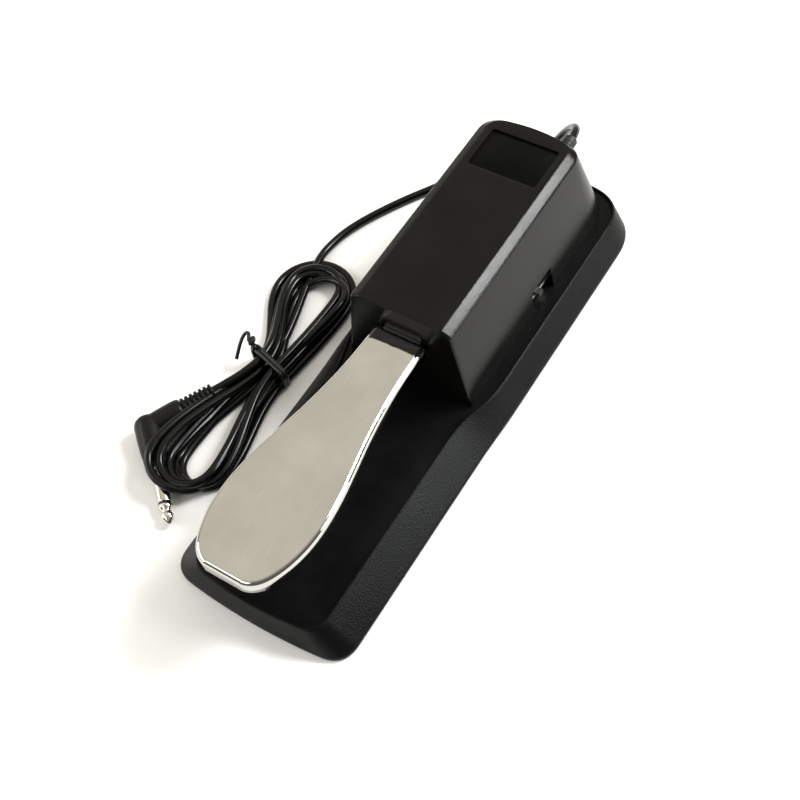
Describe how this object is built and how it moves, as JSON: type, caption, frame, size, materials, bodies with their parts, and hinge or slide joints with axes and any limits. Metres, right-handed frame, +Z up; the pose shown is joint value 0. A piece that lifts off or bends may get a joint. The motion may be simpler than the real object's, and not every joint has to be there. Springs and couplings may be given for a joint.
{
  "type": "sustain pedal",
  "caption": "Floor sustain pedal for a keyboard: chrome foot lever hinged in a tapered black housing on a weighted tray, with a tied cord and an angled jack plug.",
  "frame": {"origin": "middle of the sole's underside, on the floor, without the cord", "axes": "+X to the right, +Y from the foot plate towards the housing, +Z up"},
  "size_m": [0.1445, 0.2854, 0.0636],
  "materials": {
    "tray_plastic": "fine-textured black ABS",
    "sole_rubber": "matt black rubber",
    "plain_steel": "plain rolled steel",
    "zinc_steel": "bright zinc plate",
    "cover_plastic": "fine-textured black ABS",
    "plate_plastic": "smooth black plastic",
    "foot_chrome": "polished chrome plate",
    "white_nylon": "natural nylon",
    "pad_rubber": "soft black rubber",
    "switch_plastic": "black phenolic",
    "terminal_brass": "tinned brass",
    "board_laminate": "green laminate",
    "nickel": "nickel plate",
    "knob_plastic": "black plastic",
    "wire_pvc": "red wire sleeve",
    "cord_pvc": "glossy black PVC",
    "gland_rubber": "black rubber",
    "tie_plastic": "black plastic over wire",
    "plug_plastic": "satin black plastic",
    "ring_plastic": "black insulator"
  },
  "bodies": {
    "base": {"base_tray": "tray_plastic", "rubber_sole": "sole_rubber", "ballast_plate": "plain_steel", "cover_screws": "zinc_steel", "housing_cover": "cover_plastic", "blank_plate": "plate_plastic", "pivot_bracket": "plain_steel", "bracket_screws": "zinc_steel", "pivot_shaft": "zinc_steel", "shaft_clips": "zinc_steel", "spring_cup": "white_nylon", "return_spring": "zinc_steel", "rest_pad": "pad_rubber", "stop_pad": "pad_rubber", "lever_switch": "switch_plastic", "switch_terminals": "terminal_brass", "switch_screws": "zinc_steel", "circuit_board": "board_laminate", "board_screws": "zinc_steel", "polarity_switch": "switch_plastic", "polarity_frame": "nickel", "switch_wires": "wire_pvc", "inner_cord": "cord_pvc", "cord_clamp": "white_nylon", "clamp_screws": "zinc_steel", "strain_relief": "gland_rubber", "cord": "cord_pvc", "cord_hank": "cord_pvc", "twist_tie": "tie_plastic", "plug_boot": "plug_plastic", "plug_body": "plug_plastic", "plug_sleeve": "nickel", "plug_insulator": "ring_plastic", "plug_tip": "nickel"},
    "lever": {"foot_plate": "foot_chrome", "lever_arm": "plain_steel", "arm_rivets": "zinc_steel", "actuator_tab": "plain_steel", "tab_rivet": "zinc_steel", "lever_bushings": "white_nylon", "spring_stud": "white_nylon"},
    "plunger": {"switch_plunger": "white_nylon"},
    "knob": {"polarity_knob": "knob_plastic"}
  },
  "joints": [
    {"name": "lever_pivot", "type": "hinge", "parent": "base", "child": "lever", "pos_m": [0, 0.04, 0.037], "axis": [1, 0, 0], "range_deg": [0, 6.5], "stiffness_Nm_per_rad": 6, "springref_deg": -8.59, "deforming": ["return_spring"]},
    {"name": "plunger_slide", "type": "slide", "parent": "base", "child": "plunger", "axis": [0, 0, 1], "range_m": [0, 0.0019]},
    {"name": "knob_slide", "type": "slide", "parent": "base", "child": "knob", "axis": [0, 1, 0], "range_m": [0, 0.003]}
  ],
  "couplings": [
    {"joint": "plunger_slide", "follows": "lever_pivot", "m_per_rad": 0.016}
  ]
}
